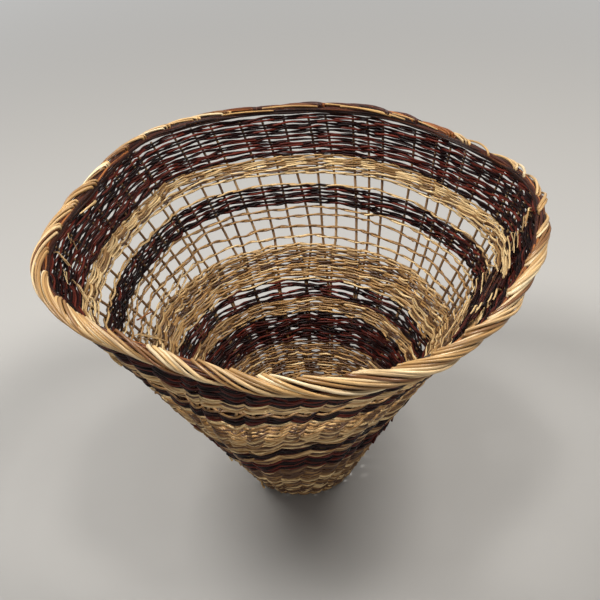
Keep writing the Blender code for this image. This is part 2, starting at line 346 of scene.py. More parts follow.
@dataclass(frozen=True)
class RodFinish:
    """The colour and surface of one kind of rod.

    The three shades are those of the darkest, the usual and the palest rods. The stain is what
    grain lines and weathering pull them towards.
    """

    name: str
    slot: str
    shades: tuple[Colour, Colour, Colour]
    stain: Colour
    grain: Grain
    roughness: float
    specular: float
    stain_share: float = 0.45
    roughness_spread: float = 0.12
    relief: float = 0.00012
    relief_strength: float = 0.6
    streak_scale: float = 1100.0
    streak_stretch: float = 0.030
    streak_detail: float = 3.0
    streak_edges: Range = (0.42, 0.68)
    patch_scale: float = 55.0
    patch_stretch: float = 0.4
    patch_detail: float = 2.0
    wear_edges: Range = (0.40, 0.72)
    gloss_edges: Range = (0.3, 0.7)
    pore_scale: float = 900.0
    pore_stretch: float = 1.0
    pore_detail: float = 1.0
    pore_edges: Range = (0.66, 0.74)
    pore_share: float = 0.7

    def material(self) -> bpy.types.Material:
        """Builds the finish's nodes, which read each rod's own colour and grain.

        Returns:
            The new material.
        """
        finish = bpy.data.materials.new(self.name)
        finish.use_nodes = True
        tree = finish.node_tree
        shader = tree.nodes["Principled BSDF"]
        shader.inputs["Specular IOR Level"].default_value = self.specular
        finish.diffuse_color = (*self.shades[1], 1.0)

        tint = self.attribute(tree, "rod_tint").outputs["Fac"]
        place = self.attribute(tree, "rod_place").outputs["Vector"]
        shade = tree.nodes.new("ShaderNodeValToRGB")
        shade.color_ramp.elements[0].color = (*self.shades[0], 1.0)
        shade.color_ramp.elements[1].color = (*self.shades[2], 1.0)
        middle = shade.color_ramp.elements.new(0.5)
        middle.color = (*self.shades[1], 1.0)
        tree.links.new(tint, shade.inputs["Fac"])

        streaks = self.noise(tree, place, self.streak_stretch, self.streak_scale, self.streak_detail)
        patches = self.noise(tree, place, self.patch_stretch, self.patch_scale, self.patch_detail)
        lined = self.ranged(tree, streaks, self.streak_edges, (0.0, self.stain_share))
        worn = self.ranged(tree, patches, self.wear_edges, (0.0, self.stain_share))
        colour = self.stained(tree, shade.outputs["Color"], lined)
        colour = self.stained(tree, colour, worn)
        height = streaks
        if self.grain is Grain.BARK:
            pores = self.noise(tree, place, self.pore_stretch, self.pore_scale, self.pore_detail)
            spots = self.ranged(tree, pores, self.pore_edges, (0.0, self.pore_share))
            colour = self.mixed(tree, spots, colour, self.shades[2])
            height = pores
        tree.links.new(colour, shader.inputs["Base Color"])

        spread = (self.roughness - self.roughness_spread, self.roughness + self.roughness_spread)
        rough = self.ranged(tree, patches, self.gloss_edges, spread)
        tree.links.new(rough, shader.inputs["Roughness"])
        bump = tree.nodes.new("ShaderNodeBump")
        bump.inputs["Strength"].default_value = self.relief_strength
        bump.inputs["Distance"].default_value = self.relief
        tree.links.new(height, bump.inputs["Height"])
        tree.links.new(bump.outputs["Normal"], shader.inputs["Normal"])
        return finish

    @staticmethod
    def attribute(tree: bpy.types.NodeTree, name: str) -> bpy.types.Node:
        """Reads one of the rods' attributes.

        Args:
            tree: The material's nodes.
            name: The attribute's name.

        Returns:
            The node that gives it.
        """
        node = tree.nodes.new("ShaderNodeAttribute")
        node.attribute_type = "GEOMETRY"
        node.attribute_name = name
        return node

    @staticmethod
    def noise(
        tree: bpy.types.NodeTree, place: bpy.types.NodeSocket, stretch: float, scale: float, detail: float
    ) -> bpy.types.NodeSocket:
        """Noise in a rod's own space, drawn out along the rod.

        Args:
            tree: The material's nodes.
            place: The socket that gives a point's place in its rod.
            stretch: The scale along the rod as a share of the scale across it.
            scale: The noise's scale, for a metre.
            detail: How many finer layers it has.

        Returns:
            The noise's value.
        """
        mapping = tree.nodes.new("ShaderNodeMapping")
        mapping.inputs["Scale"].default_value = (1.0, 1.0, stretch)
        tree.links.new(place, mapping.inputs["Vector"])
        node = tree.nodes.new("ShaderNodeTexNoise")
        node.inputs["Scale"].default_value = scale
        node.inputs["Detail"].default_value = detail
        tree.links.new(mapping.outputs["Vector"], node.inputs["Vector"])
        return node.outputs["Fac"]

    @staticmethod
    def ranged(
        tree: bpy.types.NodeTree, value: bpy.types.NodeSocket, edges: Range, ends: Range
    ) -> bpy.types.NodeSocket:
        """Moves a value from one range to another and keeps it there.

        Args:
            tree: The material's nodes.
            value: The value's socket.
            edges: The range that it comes from.
            ends: The range that it goes to.

        Returns:
            The moved value's socket.
        """
        node = tree.nodes.new("ShaderNodeMapRange")
        node.inputs["From Min"].default_value, node.inputs["From Max"].default_value = edges
        node.inputs["To Min"].default_value, node.inputs["To Max"].default_value = ends
        tree.links.new(value, node.inputs["Value"])
        return node.outputs["Result"]

    @staticmethod
    def mixed(
        tree: bpy.types.NodeTree, share: bpy.types.NodeSocket, colour: bpy.types.NodeSocket, other: Colour
    ) -> bpy.types.NodeSocket:
        """Mixes a colour towards another.

        Args:
            tree: The material's nodes.
            share: The socket that says how far.
            colour: The first colour's socket.
            other: The colour that it's mixed towards.

        Returns:
            The mixed colour's socket.
        """
        node = tree.nodes.new("ShaderNodeMix")
        node.data_type = "RGBA"
        tree.links.new(share, node.inputs["Factor"])
        tree.links.new(colour, node.inputs["A"])
        node.inputs["B"].default_value = (*other, 1.0)
        return node.outputs["Result"]

    def stained(
        self, tree: bpy.types.NodeTree, colour: bpy.types.NodeSocket, share: bpy.types.NodeSocket
    ) -> bpy.types.NodeSocket:
        """A colour pulled towards the finish's stain."""
        return self.mixed(tree, share, colour, self.stain)


PEELED_STAKE = RodFinish(
    name="peeled_stake",
    slot="peeled_rod",
    shades=((0.095, 0.046, 0.019), (0.27, 0.155, 0.070), (0.52, 0.34, 0.165)),
    stain=(0.070, 0.032, 0.014),
    grain=Grain.PEELED,
    roughness=0.55,
    specular=0.3,
)
PALE_WEFT = RodFinish(
    name="pale_weft",
    slot="pale_weft",
    shades=((0.060, 0.024, 0.009), (0.52, 0.298, 0.105), (0.97, 0.73, 0.38)),
    stain=(0.11, 0.045, 0.015),
    grain=Grain.PEELED,
    stain_share=0.50,
    roughness=0.44,
    specular=0.42,
)
DARK_WEFT = RodFinish(
    name="dark_weft",
    slot="dark_weft",
    shades=((0.004, 0.0013, 0.0016), (0.012, 0.0030, 0.0036), (0.150, 0.026, 0.016)),
    stain=(0.004, 0.0013, 0.0017),
    grain=Grain.BARK,
    roughness=0.36,
    specular=0.11,
)
RED_CORE = RodFinish(
    name="red_core",
    slot="red_core",
    shades=((0.010, 0.0030, 0.0030), (0.075, 0.018, 0.009), (0.42, 0.150, 0.042)),
    stain=(0.012, 0.004, 0.003),
    grain=Grain.BARK,
    roughness=0.42,
    specular=0.22,
)
BORDER_WILLOW = RodFinish(
    name="border_willow",
    slot="border_willow",
    shades=((0.17, 0.068, 0.018), (0.66, 0.415, 0.165), (0.96, 0.80, 0.51)),
    stain=(0.14, 0.056, 0.016),
    grain=Grain.PEELED,
    stain_share=0.52,
    roughness=0.35,
    specular=0.44,
)


@dataclass
class RodBundle:
    """Rods gathered into one mesh, each with a colour and a grain of its own."""

    rng: np.random.Generator
    sides: int = 6
    end_bevel_share: float = 0.35
    strip_margin_share: float = 0.12
    cap_share: float = 0.003
    rods: list[tuple[Array, Array, Array, float]] = field(default_factory=list)

    def add(self, path: Array, radii: Array, facing: Array, tint: float) -> None:
        """Takes up one rod.

        Args:
            path: The rod's centre line, one point in each row.
            radii: The rod's radius at each point.
            facing: A direction at each point that the rod doesn't run along.
            tint: The rod's place between the darkest and the palest shade, from 0 to 1.
        """
        ends = unit(np.stack([path[0] - path[1], path[-1] - path[-2]]))
        bevel = np.array([radii[0], radii[-1]]) * self.end_bevel_share
        tips = np.stack([path[0], path[-1]]) + ends * bevel[:, None]
        path = np.concatenate([tips[:1], path, tips[1:]])
        radii = np.concatenate([radii[:1] - bevel[0], radii, radii[-1:] - bevel[1]])
        facing = np.concatenate([facing[:1], facing, facing[-1:]])
        self.rods.append((path, radii, facing, float(np.clip(tint, 0.0, 1.0))))

    def surface(self, path: Array, radii: Array, facing: Array) -> tuple[Array, Array]:
        """A rod's skin.

        Args:
            path: The rod's centre line.
            radii: Its radius at each point.
            facing: A direction at each point that the rod doesn't run along.

        Returns:
            The skin's points, and each one's place in the rod's own straightened space.
        """
        along = unit(np.gradient(path, axis=0))
        first = unit(facing - along * (facing * along).sum(-1, keepdims=True))
        second = np.cross(along, first)
        turn = TURN * np.arange(self.sides) / self.sides
        across = np.cos(turn)[None, :, None] * first[:, None, :]
        beside = np.sin(turn)[None, :, None] * second[:, None, :]
        ring = radii[:, None, None] * (across + beside)
        steps = np.linalg.norm(np.diff(path, axis=0), axis=-1)
        run = np.concatenate([[0.0], np.cumsum(steps)])
        shift = self.rng.uniform(0.0, 1.0, 3)
        own = np.empty(ring.shape)
        own[..., 0] = radii[:, None] * np.cos(turn) + shift[0]
        own[..., 1] = radii[:, None] * np.sin(turn) + shift[1]
        own[..., 2] = run[:, None] + shift[2]
        return (path[:, None, :] + ring).reshape(-1, 3), own.reshape(-1, 3)

    def make(self, name: str, finish: bpy.types.Material) -> bpy.types.Object:
        """Builds the mesh of all the rods.

        Args:
            name: The new object's name.
            finish: The material that all the rods have.

        Returns:
            The object, linked into the scene.
        """
        skins = [self.surface(path, radii, facing) for path, radii, facing, _ in self.rods]
        points = np.concatenate([skin[0] for skin in skins])
        own = np.concatenate([skin[1] for skin in skins])
        tints = np.concatenate([np.full(len(skin[0]), rod[3]) for skin, rod in zip(skins, self.rods)])
        corners, totals, smooth, uvs = [], [], [], []
        start = 0
        side = np.arange(self.sides)
        for index, (path, _, _, _) in enumerate(self.rods):
            rings = len(path)
            low = start + self.sides * np.arange(rings - 1)[:, None]
            high = low + self.sides
            after = (side + 1) % self.sides
            quads = np.stack([low + side, low + after, high + after, high + side], -1)
            caps = np.concatenate([start + side[::-1], start + self.sides * (rings - 1) + side])
            corners += [quads.ravel(), caps]
            totals += [np.full((rings - 1) * self.sides, 4), np.full(2, self.sides)]
            smooth += [np.ones((rings - 1) * self.sides, bool), np.zeros(2, bool)]
            uvs += self.strip(index, rings)
            start += self.sides * rings
        parts = (np.concatenate(part) for part in (corners, totals, smooth, uvs))
        return self.link(name, finish, points, own, tints, *parts)

    def strip(self, index: int, rings: int) -> list[Array]:
        """One rod's strip of the bake map: its side laid flat, and a small place for each cap.

        Args:
            index: The rod's number.
            rings: How many rings of points it has.

        Returns:
            The places of the corners of its sides, then those of its caps.
        """
        height = (1 - 2 * self.strip_margin_share) / len(self.rods)
        low = (index + self.strip_margin_share) / len(self.rods)
        across = low + height * np.arange(self.sides + 1) / self.sides
        along = np.linspace(2 * self.cap_share, 1 - 2 * self.cap_share, rings)
        u = np.stack([along[:-1], along[:-1], along[1:], along[1:]], -1)[:, None, :]
        v = np.stack([across[:-1], across[1:], across[1:], across[:-1]], -1)[None, :, :]
        sides = np.stack(np.broadcast_arrays(u, v), -1).reshape(-1, 2)
        turn = TURN * np.arange(self.sides) / self.sides
        caps = []
        for middle in (self.cap_share, 1 - self.cap_share):
            u = middle + self.cap_share / 2 * np.cos(turn)
            v = low + height / 2 * (1 + np.sin(turn) / 2)
            caps.append(np.stack([u, v], -1))
        return [sides, np.concatenate(caps)]

    @staticmethod
    def link(
        name: str,
        finish: bpy.types.Material,
        points: Array,
        own: Array,
        tints: Array,
        corners: Array,
        totals: Array,
        smooth: Array,
        uvs: Array,
    ) -> bpy.types.Object:
        """Writes the gathered rods into a new mesh object.

        Args:
            name: The new object's name.
            finish: The material that all the rods have.
            points: Every rod's points.
            own: Each point's place in its rod's own space.
            tints: Each point's tint.
            corners: The point at each corner of the faces in turn.
            totals: How many corners each face has.
            smooth: Whether each face is shaded smooth.
            uvs: Each corner's place on the bake map.

        Returns:
            The object, linked into the scene.
        """
        mesh = bpy.data.meshes.new(name)
        mesh.vertices.add(len(points))
        mesh.vertices.foreach_set("co", points.ravel())
        mesh.loops.add(len(corners))
        mesh.loops.foreach_set("vertex_index", corners.astype(np.int32))
        mesh.polygons.add(len(totals))
        starts = np.concatenate([[0], np.cumsum(totals)[:-1]])
        mesh.polygons.foreach_set("loop_start", starts.astype(np.int32))
        mesh.polygons.foreach_set("loop_total", totals.astype(np.int32))
        mesh.polygons.foreach_set("use_smooth", smooth)
        mesh.update(calc_edges=True)
        layer = mesh.uv_layers.new(name=UV_NAME)
        layer.uv.foreach_set("vector", uvs.astype(np.float32).ravel())
        tint = mesh.attributes.new("rod_tint", "FLOAT", "POINT")
        tint.data.foreach_set("value", tints.astype(np.float32))
        place = mesh.attributes.new("rod_place", "FLOAT_VECTOR", "POINT")
        place.data.foreach_set("vector", own.astype(np.float32).ravel())
        mesh.validate()
        mesh.materials.append(finish)
        made = bpy.data.objects.new(name, mesh)
        bpy.context.scene.collection.objects.link(made)
        return made


def hand_over(piece: bpy.types.Object, node: str | None = None) -> None:
    """Sets a piece in the frame.

    Args:
        piece: The finished piece.
        node: The frame's node that it stands for, where it stands for one.
    """
    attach(piece, "root")
    if node:
        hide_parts(node)
    LOG.info("%s: %d points, stands for %s", piece.name, len(piece.data.vertices), node or "no node")


@dataclass
class StakeRods:
    """The long rods: each one crosses the base and turns up as two stakes."""

    wall: Wall
    finish: RodFinish = PEELED_STAKE
    foot_radius: float = 0.00175
    top_radius: float = 0.00150
    stray: float = 0.0016
    step: float = 0.006
    settle_share: float = 0.272
    bends: int = 5
    crossing_steps: int = 9
    sides: int = 8
    tint: float = 0.45
    tint_spread: float = 0.25
    seed: int = 11

    def fan_radius(self) -> float:
        """The radius at which the crossed rods begin to fan out."""
        half = (self.wall.pairs / 2 - 1) / 2 * self.wall.pair_pitch
        return math.hypot(half + self.wall.pair_pitch, half)

    def stake(self, rng: np.random.Generator, number: int) -> tuple[Array, Array]:
        """One stake up the wall.

        Args:
            rng: The source of its small bends.
            number: The stake's number.

        Returns:
            Its points from the base bend up, and its radius at each.
        """
        wall = self.wall
        top_angle = wall.stake_angle(np.array(float(number)), np.array(1.0))
        top = float(wall.level_under_rim(top_angle[None], wall.border_radius / 2)[0])
        level = np.linspace(0.0, top, int(wall.slant / self.step))
        angle = wall.stake_angle(np.full_like(level, number), level)
        bend = np.zeros_like(level)
        for count in range(1, self.bends + 1):
            bend += rng.normal(0.0, self.stray / math.sqrt(count)) * np.sin(math.pi * count * level)
        points = wall.point(level, angle + bend / wall.flare(level))
        return points, self.foot_radius + (self.top_radius - self.foot_radius) * level

    def build(self, material: bpy.types.Material) -> None:
        """Builds every rod as a piece of its own.

        Args:
            material: The material of the peeled rods.
        """
        rng = np.random.default_rng(self.seed)
        per_side = self.wall.pairs // 2
        last = per_side - 1
        for rod in range(self.wall.pairs):
            turned = rod >= per_side
            place = rod % per_side
            far, near = place, 2 * per_side + last - place
            if turned:
                far, near = per_side + last - place, 3 * per_side + place
            near_points, near_radii = self.stake(rng, near)
            far_points, far_radii = self.stake(rng, far)
            middle = self.crossing(near_points[0], far_points[0], place, turned)
            path = np.concatenate([near_points[::-1], middle, far_points])
            radii = np.concatenate([near_radii[::-1], np.full(len(middle), self.foot_radius), far_radii])
            facing = np.broadcast_to(np.cross(near_points[0] - far_points[0], UP), path.shape)
            bundle = RodBundle(rng, sides=self.sides)
            bundle.add(path, radii, facing, rng.normal(self.tint, self.tint_spread))
            name = f"stake_rod_{rod + 1:02d}"
            hand_over(bundle.make(f"{name}_willow", material), name)

    def crossing(self, near: Array, far: Array, place: int, turned: bool) -> Array:
        """The stretch of a rod that crosses the base.

        Args:
            near: Where the rod's first stake begins.
            far: Where its other stake begins.
            place: The rod's place among those that run its way.
            turned: Whether the rod runs along Y, over the others.

        Returns:
            The points between the two stakes.
        """
        wall = self.wall
        across = (place - (wall.pairs / 2 - 1) / 2) * wall.pair_pitch
        reach = math.sqrt(self.fan_radius() ** 2 - across**2)
        height = wall.rod_level + (wall.pair_pitch if turned else 0.0)
        inner = []
        for direction in (-1.0, 1.0):
            plan = (across, direction * reach) if turned else (direction * reach, across)
            inner.append(np.array([wall.base_shift[0] + plan[0], wall.base_shift[1] + plan[1], height]))
        steps = np.linspace(0.0, 1.0, self.crossing_steps)[:, None]
        flat = inner[0] + (inner[1] - inner[0]) * steps
        settled = []
        for foot, start in ((near, inner[0]), (far, inner[1])):
            point = start + (foot - start) * self.settle_share
            point[2] = foot[2]
            settled.append(point)
        if not turned:
            return flat
        return np.concatenate([[settled[0]], flat, [settled[1]]])


@dataclass
class TwinedBand:
    """Rows of twining: two rods in each row, which pass each other between the posts.

    A stray is how far something wanders from its even place, and its lobes are how finely it does.
    """

    wall: Wall
    node: str
    finish: RodFinish
    foot: float
    top: float
    rows: int
    lay: Lay
    radius: float
    seed: int
    under_border: bool = False
    tint: float = 0.5
    tint_spread: float = 0.38
    twist_share: float = 0.62
    samples: int = 6
    rod_reach: float = 0.70
    fewest_rods: int = 2
    overlap: float = 0.9
    pitch_spread: float = 0.16
    band_stray: float = 0.0012
    band_lobes: Lobes = (3, 12)
    row_stray: float = 0.00066
    row_lobes: Lobes = (8, 44)
    rod_stray: float = 0.00036
    rod_lobes: Lobes = (20, 70)
    turn_stray: float = 0.09
    paired_turn_share: float = 1.6
    turn_lobes: Lobes = (3, 16)
    depth_stray: float = 0.00035
    depth_lobes: Lobes = (6, 40)
    bulge_stray: float = 0.26
    bulge_lobes: Lobes = (9, 60)
    taper_share: float = 0.36
    butt_share: float = 0.22
    tip_first_share: float = 0.5
    end_lift: float = 0.0025
    border_drop: float = 0.0050
    post_radius: float = 0.00165
    post_taper: float = 0.0005
    pairs_standoff_share: float = 0.90
    opening_standoff_share: float = 1.08

    def row_level(self, row: int, angle: Array) -> Array:
        """Where a row's middle runs.

        Args:
            row: The row's number from the foot up.
            angle: Angles round the wall.

        Returns:
            The row's level at each angle.
        """
        foot = self.foot + self.wall.row_swing(self.foot, angle)
        top = self.top + self.wall.row_swing(self.top, angle)
        if self.under_border:
            top = self.wall.level_under_rim(angle, self.border_drop)
        return foot + (top - foot) * (row + 0.5) / self.rows

    def build(self, material: bpy.types.Material) -> None:
        """Builds the band as one piece.

        Args:
            material: The material of the band's rods.
        """
        rng = np.random.default_rng(self.seed)
        bundle = RodBundle(rng)
        shared = drawn_seed(rng)
        for row in range(self.rows):
            self.add_row(bundle, rng, row, shared)
        hand_over(bundle.make(f"{self.node}_twining", material), self.node)

    def add_row(self, bundle: RodBundle, rng: np.random.Generator, row: int, shared: int) -> None:
        """Weaves one row.

        Args:
            bundle: Where the row's rods go.
            rng: The source of the row's own wander, colours and rod ends.
            row: The row's number from the foot up.
            shared: The seed of the wander that all the rows share.
        """
        posts = self.wall.post_count(self.lay)
        own = drawn_seed(rng)
        length = TURN * self.wall.flare(self.foot)
        rods = max(self.fewest_rods, round(length / self.rod_reach))
        for strand in (0, 1):
            starts = np.sort(rng.uniform(0, posts / rods / 2, rods) + np.arange(rods) * posts / rods)
            ends = np.concatenate([starts[1:], starts[:1] + posts])
            for start, end in zip(starts, ends):
                samples = int((end - start + 2 * self.overlap) * self.samples)
                post = np.linspace(start - self.overlap, end + self.overlap, samples)
                self.add_rod(bundle, rng, post, row, strand, shared, own)

    def add_rod(
        self,
        bundle: RodBundle,
        rng: np.random.Generator,
        post: Array,
        row: int,
        strand: int,
        shared: int,
        own: int,
    ) -> None:
        """Weaves one rod of a row.

        Args:
            bundle: Where the rod goes.
            rng: The source of its colour, taper and ends.
            post: The rod's run, in posts.
            row: The row's number.
            strand: Which of the row's two rods it is.
            shared: The seed of the wander that all the rows share.
            own: The seed of the row's own wander.
        """
        wall = self.wall
        guess = wall.pair_angle(post * wall.pairs / wall.post_count(self.lay))
        level = self.row_level(row, guess)
        stray = wander(np.random.default_rng(shared), guess, self.band_stray, self.band_lobes)
        row_wander = np.random.default_rng(own)
        pitch_stray = row_wander.normal(0.0, self.pitch_spread) * (self.top - self.foot) / self.rows
        stray += pitch_stray * wall.slant
        stray += wander(row_wander, guess, self.row_stray, self.row_lobes)
        stray += wander(rng, guess, self.rod_stray, self.rod_lobes)
        angle = wall.post_angle(self.lay, post, level)
        side = 1 - 2 * strand
        radii = self.tapered(rng, post)
        turn_share = 1.0 if self.lay is Lay.STAKES else self.paired_turn_share
        turn_wander = wander(row_wander, guess, turn_share * self.turn_stray, self.turn_lobes)
        turned = math.pi * (post + turn_wander)
        depth = wander(rng, guess, self.depth_stray, self.depth_lobes)
        bulge = 1 + np.abs(wander(rng, guess, self.bulge_stray, self.bulge_lobes))
        out = side * self.standoff(level, radii) * bulge * np.cos(turned) + depth
        up = side * self.twist_share * radii * np.sin(turned) + stray
        lift = rng.normal(0.0, self.end_lift, 2)
        near_start = np.clip(1 - (post - post[0]), 0.0, 1.0) ** 2
        near_end = np.clip(1 - (post[-1] - post), 0.0, 1.0) ** 2
        out = out + lift[0] * near_start + lift[1] * near_end
        path = wall.place(level, angle, out, up)
        bundle.add(path, radii, wall.outward(level, angle), rng.normal(self.tint, self.tint_spread))

    def tapered(self, rng: np.random.Generator, post: Array) -> Array:
        """A rod's thickness from its thick butt to its thin tip, or the other way about.

        Args:
            rng: The source of the rod's sizes.
            post: The rod's run, in posts.

        Returns:
            The rod's radius at each place.
        """
        tip = self.radius * rng.uniform(1 - self.taper_share, 1.0)
        butt = self.radius * rng.uniform(1.0, 1 + self.butt_share)
        first, last = (tip, butt) if rng.random() < self.tip_first_share else (butt, tip)
        share = (post - post[0]) / (post[-1] - post[0])
        return first + (last - first) * share

    def standoff(self, level: Array, radii: Array) -> Array:
        """How far a rod stands off the middle of the wall where it passes a post.

        Args:
            level: The rod's level at each place.
            radii: Its radius there.

        Returns:
            The distance from the middle of the wall to the middle of the rod.
        """
        standoff = self.post_radius - self.post_taper * level + radii
        if self.lay is Lay.OPENING:
            standoff = standoff * self.opening_standoff_share
        elif self.lay is Lay.PAIRS:
            standoff = standoff * self.pairs_standoff_share
        return standoff


@dataclass
class BaseRounds:
    """The twined rounds that hold the fanned rods of the base, seen from under and from inside."""

    wall: Wall
    finish: RodFinish = PALE_WEFT
    inner_radius: float = 0.0427
    outer_radius: float = 0.0632
    rounds: int = 8
    radius: float = 0.00120
    post_radius: float = 0.0015
    twist_share: float = 0.6
    samples: int = 8
    overlap: float = 0.5
    stray: float = 0.0002
    stray_lobes: Lobes = (4, 14)
    tint: float = 0.45
    tint_spread: float = 0.2
    seed: int = 23

    def build(self, material: bpy.types.Material) -> None:
        """Builds the strands that begin under the rods, then those that begin over them.

        Args:
            material: The material of the pale weaving rods.
        """
        rng = np.random.default_rng(self.seed)
        for strand, node in ((0, "base_round_lower"), (1, "base_round_upper")):
            bundle = RodBundle(rng)
            for row in range(self.rounds):
                self.add_round(bundle, rng, row, strand)
            hand_over(bundle.make(f"{node}_twining", material), node)

    def add_round(self, bundle: RodBundle, rng: np.random.Generator, row: int, strand: int) -> None:
        """Weaves one strand of one round.

        Args:
            bundle: Where the strand goes.
            rng: The source of its colour and wander.
            row: The round's number from the middle out.
            strand: 0 where it begins under the rods, 1 where it begins over them.
        """
        posts = self.wall.pairs
        start = rng.uniform(0.0, posts)
        post = np.linspace(start, start + posts + self.overlap, (posts + 1) * self.samples)
        angle = self.wall.pair_angle(post)
        side = 2 * strand - 1
        share = (row + 0.5) / self.rounds
        middle = self.inner_radius + (self.outer_radius - self.inner_radius) * share
        reach = middle + side * self.twist_share * self.radius * np.sin(math.pi * post)
        reach = reach + wander(rng, angle, self.stray, self.stray_lobes)
        height = self.wall.rod_level + side * (self.post_radius + self.radius) * np.cos(math.pi * post)
        path = np.stack(
            [
                self.wall.base_shift[0] + reach * np.cos(angle),
                self.wall.base_shift[1] + reach * np.sin(angle),
                height,
            ],
            -1,
        )
        facing = np.broadcast_to(UP, path.shape)
        radii = np.full(len(post), self.radius)
        bundle.add(path, radii, facing, rng.normal(self.tint, self.tint_spread))


@dataclass(frozen=True)
class BorderStretch:
    """A stretch of the border, from one angle in degrees to another, and how its bundles lie.

    The head is where on the border's section the rods bend over it, as a turn share. The slope is
    how far they then run round the mouth for their way round the section, and the orbit how far
    they lie from the section's middle. The size share is the rods' thickness against the usual one.
    """

    first: float
    last: float
    fewest_rods: int
    most_rods: int
    slope: float
    head: float
    orbit: float
    size_share: float
    dark: bool = False


BORDER_STRETCHES = (
    BorderStretch(0.0, 40.0, 1, 3, 4.0, 0.300, 0.0070, 0.74),
    BorderStretch(40.0, 72.0, 2, 4, 5.5, 0.285, 0.0064, 0.80, dark=True),
    BorderStretch(72.0, 104.0, 3, 5, 6.5, 0.280, 0.0062, 0.80, dark=True),
    BorderStretch(104.0, 160.0, 2, 4, 5.2, 0.292, 0.0064, 0.70),
    BorderStretch(160.0, 178.0, 3, 4, 3.1, 0.345, 0.0084, 0.95),
    BorderStretch(178.0, 206.0, 2, 4, 4.8, 0.345, 0.0082, 0.92),
    BorderStretch(206.0, 244.0, 3, 5, 3.4, 0.356, 0.0082, 0.96),
    BorderStretch(244.0, 300.0, 3, 4, 4.3, 0.354, 0.0094, 0.97),
    BorderStretch(300.0, 340.0, 3, 4, 4.4, 0.335, 0.0073, 0.95),
    BorderStretch(340.0, 360.0, 2, 3, 3.8, 0.325, 0.0070, 0.85),
)


def border_orbit(angle: Array) -> Array:
    """How far the border's rods lie from the middle of its section.

    Args:
        angle: Angles round the mouth.

    Returns:
        The distance at each angle.
    """
    middles = [(item.first + item.last) / 2 for item in BORDER_STRETCHES]
    orbits = [item.orbit for item in BORDER_STRETCHES]
    return np.interp(np.degrees(angle), middles, orbits, period=360.0)


@dataclass
class RimCore:
    """The dark and red-brown rods that run round the mouth inside the border.

    A turn share is the way round the border's own section, from 0 at the outside to 0.25 on top.
    A tint here is its usual value and its spread. The core's colour darkens towards the far side as
    painted shade, from the place whose angle round the mouth has the sine that is given.
    """

    wall: Wall
    finish: RodFinish = RED_CORE
    radius: float = 0.0014
    thickness: Range = (0.75, 1.15)
    inset: float = 0.0024
    top_inset: float = 0.0036
    first_turn_share: float = 0.14
    last_turn_share: float = 0.52
    turn_stray: float = 0.26
    rod_turn_stray: float = 0.14
    orbit_stray: float = 0.0007
    stray_lobes: Lobes = (2, 22)
    red_until_share: float = 0.44
    red_tint: tuple[float, float] = (0.55, 0.25)
    dark_tint: tuple[float, float] = (0.22, 0.18)
    # painted shade: how much darker the core's colour is made on the far side, and the sine where it
    # begins
    far_painted_shade: float = 0.32
    painted_shade_from: float = -0.4
    lines: int = 11
    rod_reach: float = 0.30
    start_spread: float = 0.7
    overlap: float = 0.035
    step: float = 0.006
    sides: int = 7
    seed: int = 31

    def build(self, material: bpy.types.Material) -> None:
        """Builds the core as one piece.

        Args:
            material: The material of the red-brown rods.
        """
        rng = np.random.default_rng(self.seed)
        bundle = RodBundle(rng, sides=self.sides)
        reach = self.wall.mouth_radius
        rods = round(TURN * reach / self.rod_reach)
        for line in range(self.lines):
            share = line / (self.lines - 1)
            turn = self.first_turn_share + (self.last_turn_share - self.first_turn_share) * share
            spread = rng.uniform(0.0, self.start_spread, rods) * TURN / rods
            starts = spread + TURN * np.arange(rods) / rods
            ends = np.concatenate([starts[1:], starts[:1] + TURN]) + self.overlap / reach
            own = drawn_seed(rng)
            for start, end in zip(starts - self.overlap / reach, ends):
                angle = np.linspace(start, end, int((end - start) * reach / self.step))
                self.add_rod(bundle, rng, angle, turn, own)
        hand_over(bundle.make("rim_core_rods", material), "rim_wale")

    def add_rod(
        self, bundle: RodBundle, rng: np.random.Generator, angle: Array, turn: float, own: int
    ) -> None:
        """Lays one rod of the core.

        Args:
            bundle: Where the rod goes.
            rng: The source of its colour and ends.
            angle: The angles round the mouth that it runs through.
            turn: Its place round the section, as a turn share.
            own: The seed of the line's own wander.
        """
        line = np.random.default_rng(own)
        phase = TURN * turn + wander(line, angle, self.turn_stray, self.stray_lobes)
        phase = phase + rng.normal(0.0, self.rod_turn_stray)
        top_share = np.clip((self.red_until_share - turn) / self.red_until_share * 2, 0.0, 1.0)
        inset = self.inset + (self.top_inset - self.inset) * top_share
        orbit = border_orbit(angle) - inset + wander(line, angle, self.orbit_stray, self.stray_lobes)
        path, arm = self.wall.rim_section(angle, phase, orbit)
        first, last = rng.uniform(*self.thickness), rng.uniform(*self.thickness)
        radii = np.linspace(first, last, len(angle)) * self.radius
        tint = rng.normal(*(self.red_tint if turn < self.red_until_share else self.dark_tint))
        # painted shade: the rod's tint darkens towards the far side of the mouth
        far = float(np.clip(math.sin(float(angle.mean())) - self.painted_shade_from, 0.0, 1.0))
        bundle.add(path, radii, arm, tint - self.far_painted_shade * far)


@dataclass(frozen=True)
class PaleStroke:
    """A thin pale rod that lies along the dark part of the border.

    A range holds the least and the most of what is drawn for each rod. The head is where the rod
    begins on the border's section, and the turn how far it runs round it, both as turn shares.
    """

    start: Range = (-0.4, 0.4)
    length: Range = (0.030, 0.075)
    head: Range = (0.28, 0.40)
    turn: Range = (0.02, 0.10)
    arch: float = 0.0012
    sink: float = 0.0006
    thickness: Range = (0.40, 0.7)
    tint: float = 0.45
    tint_spread: float = 0.2


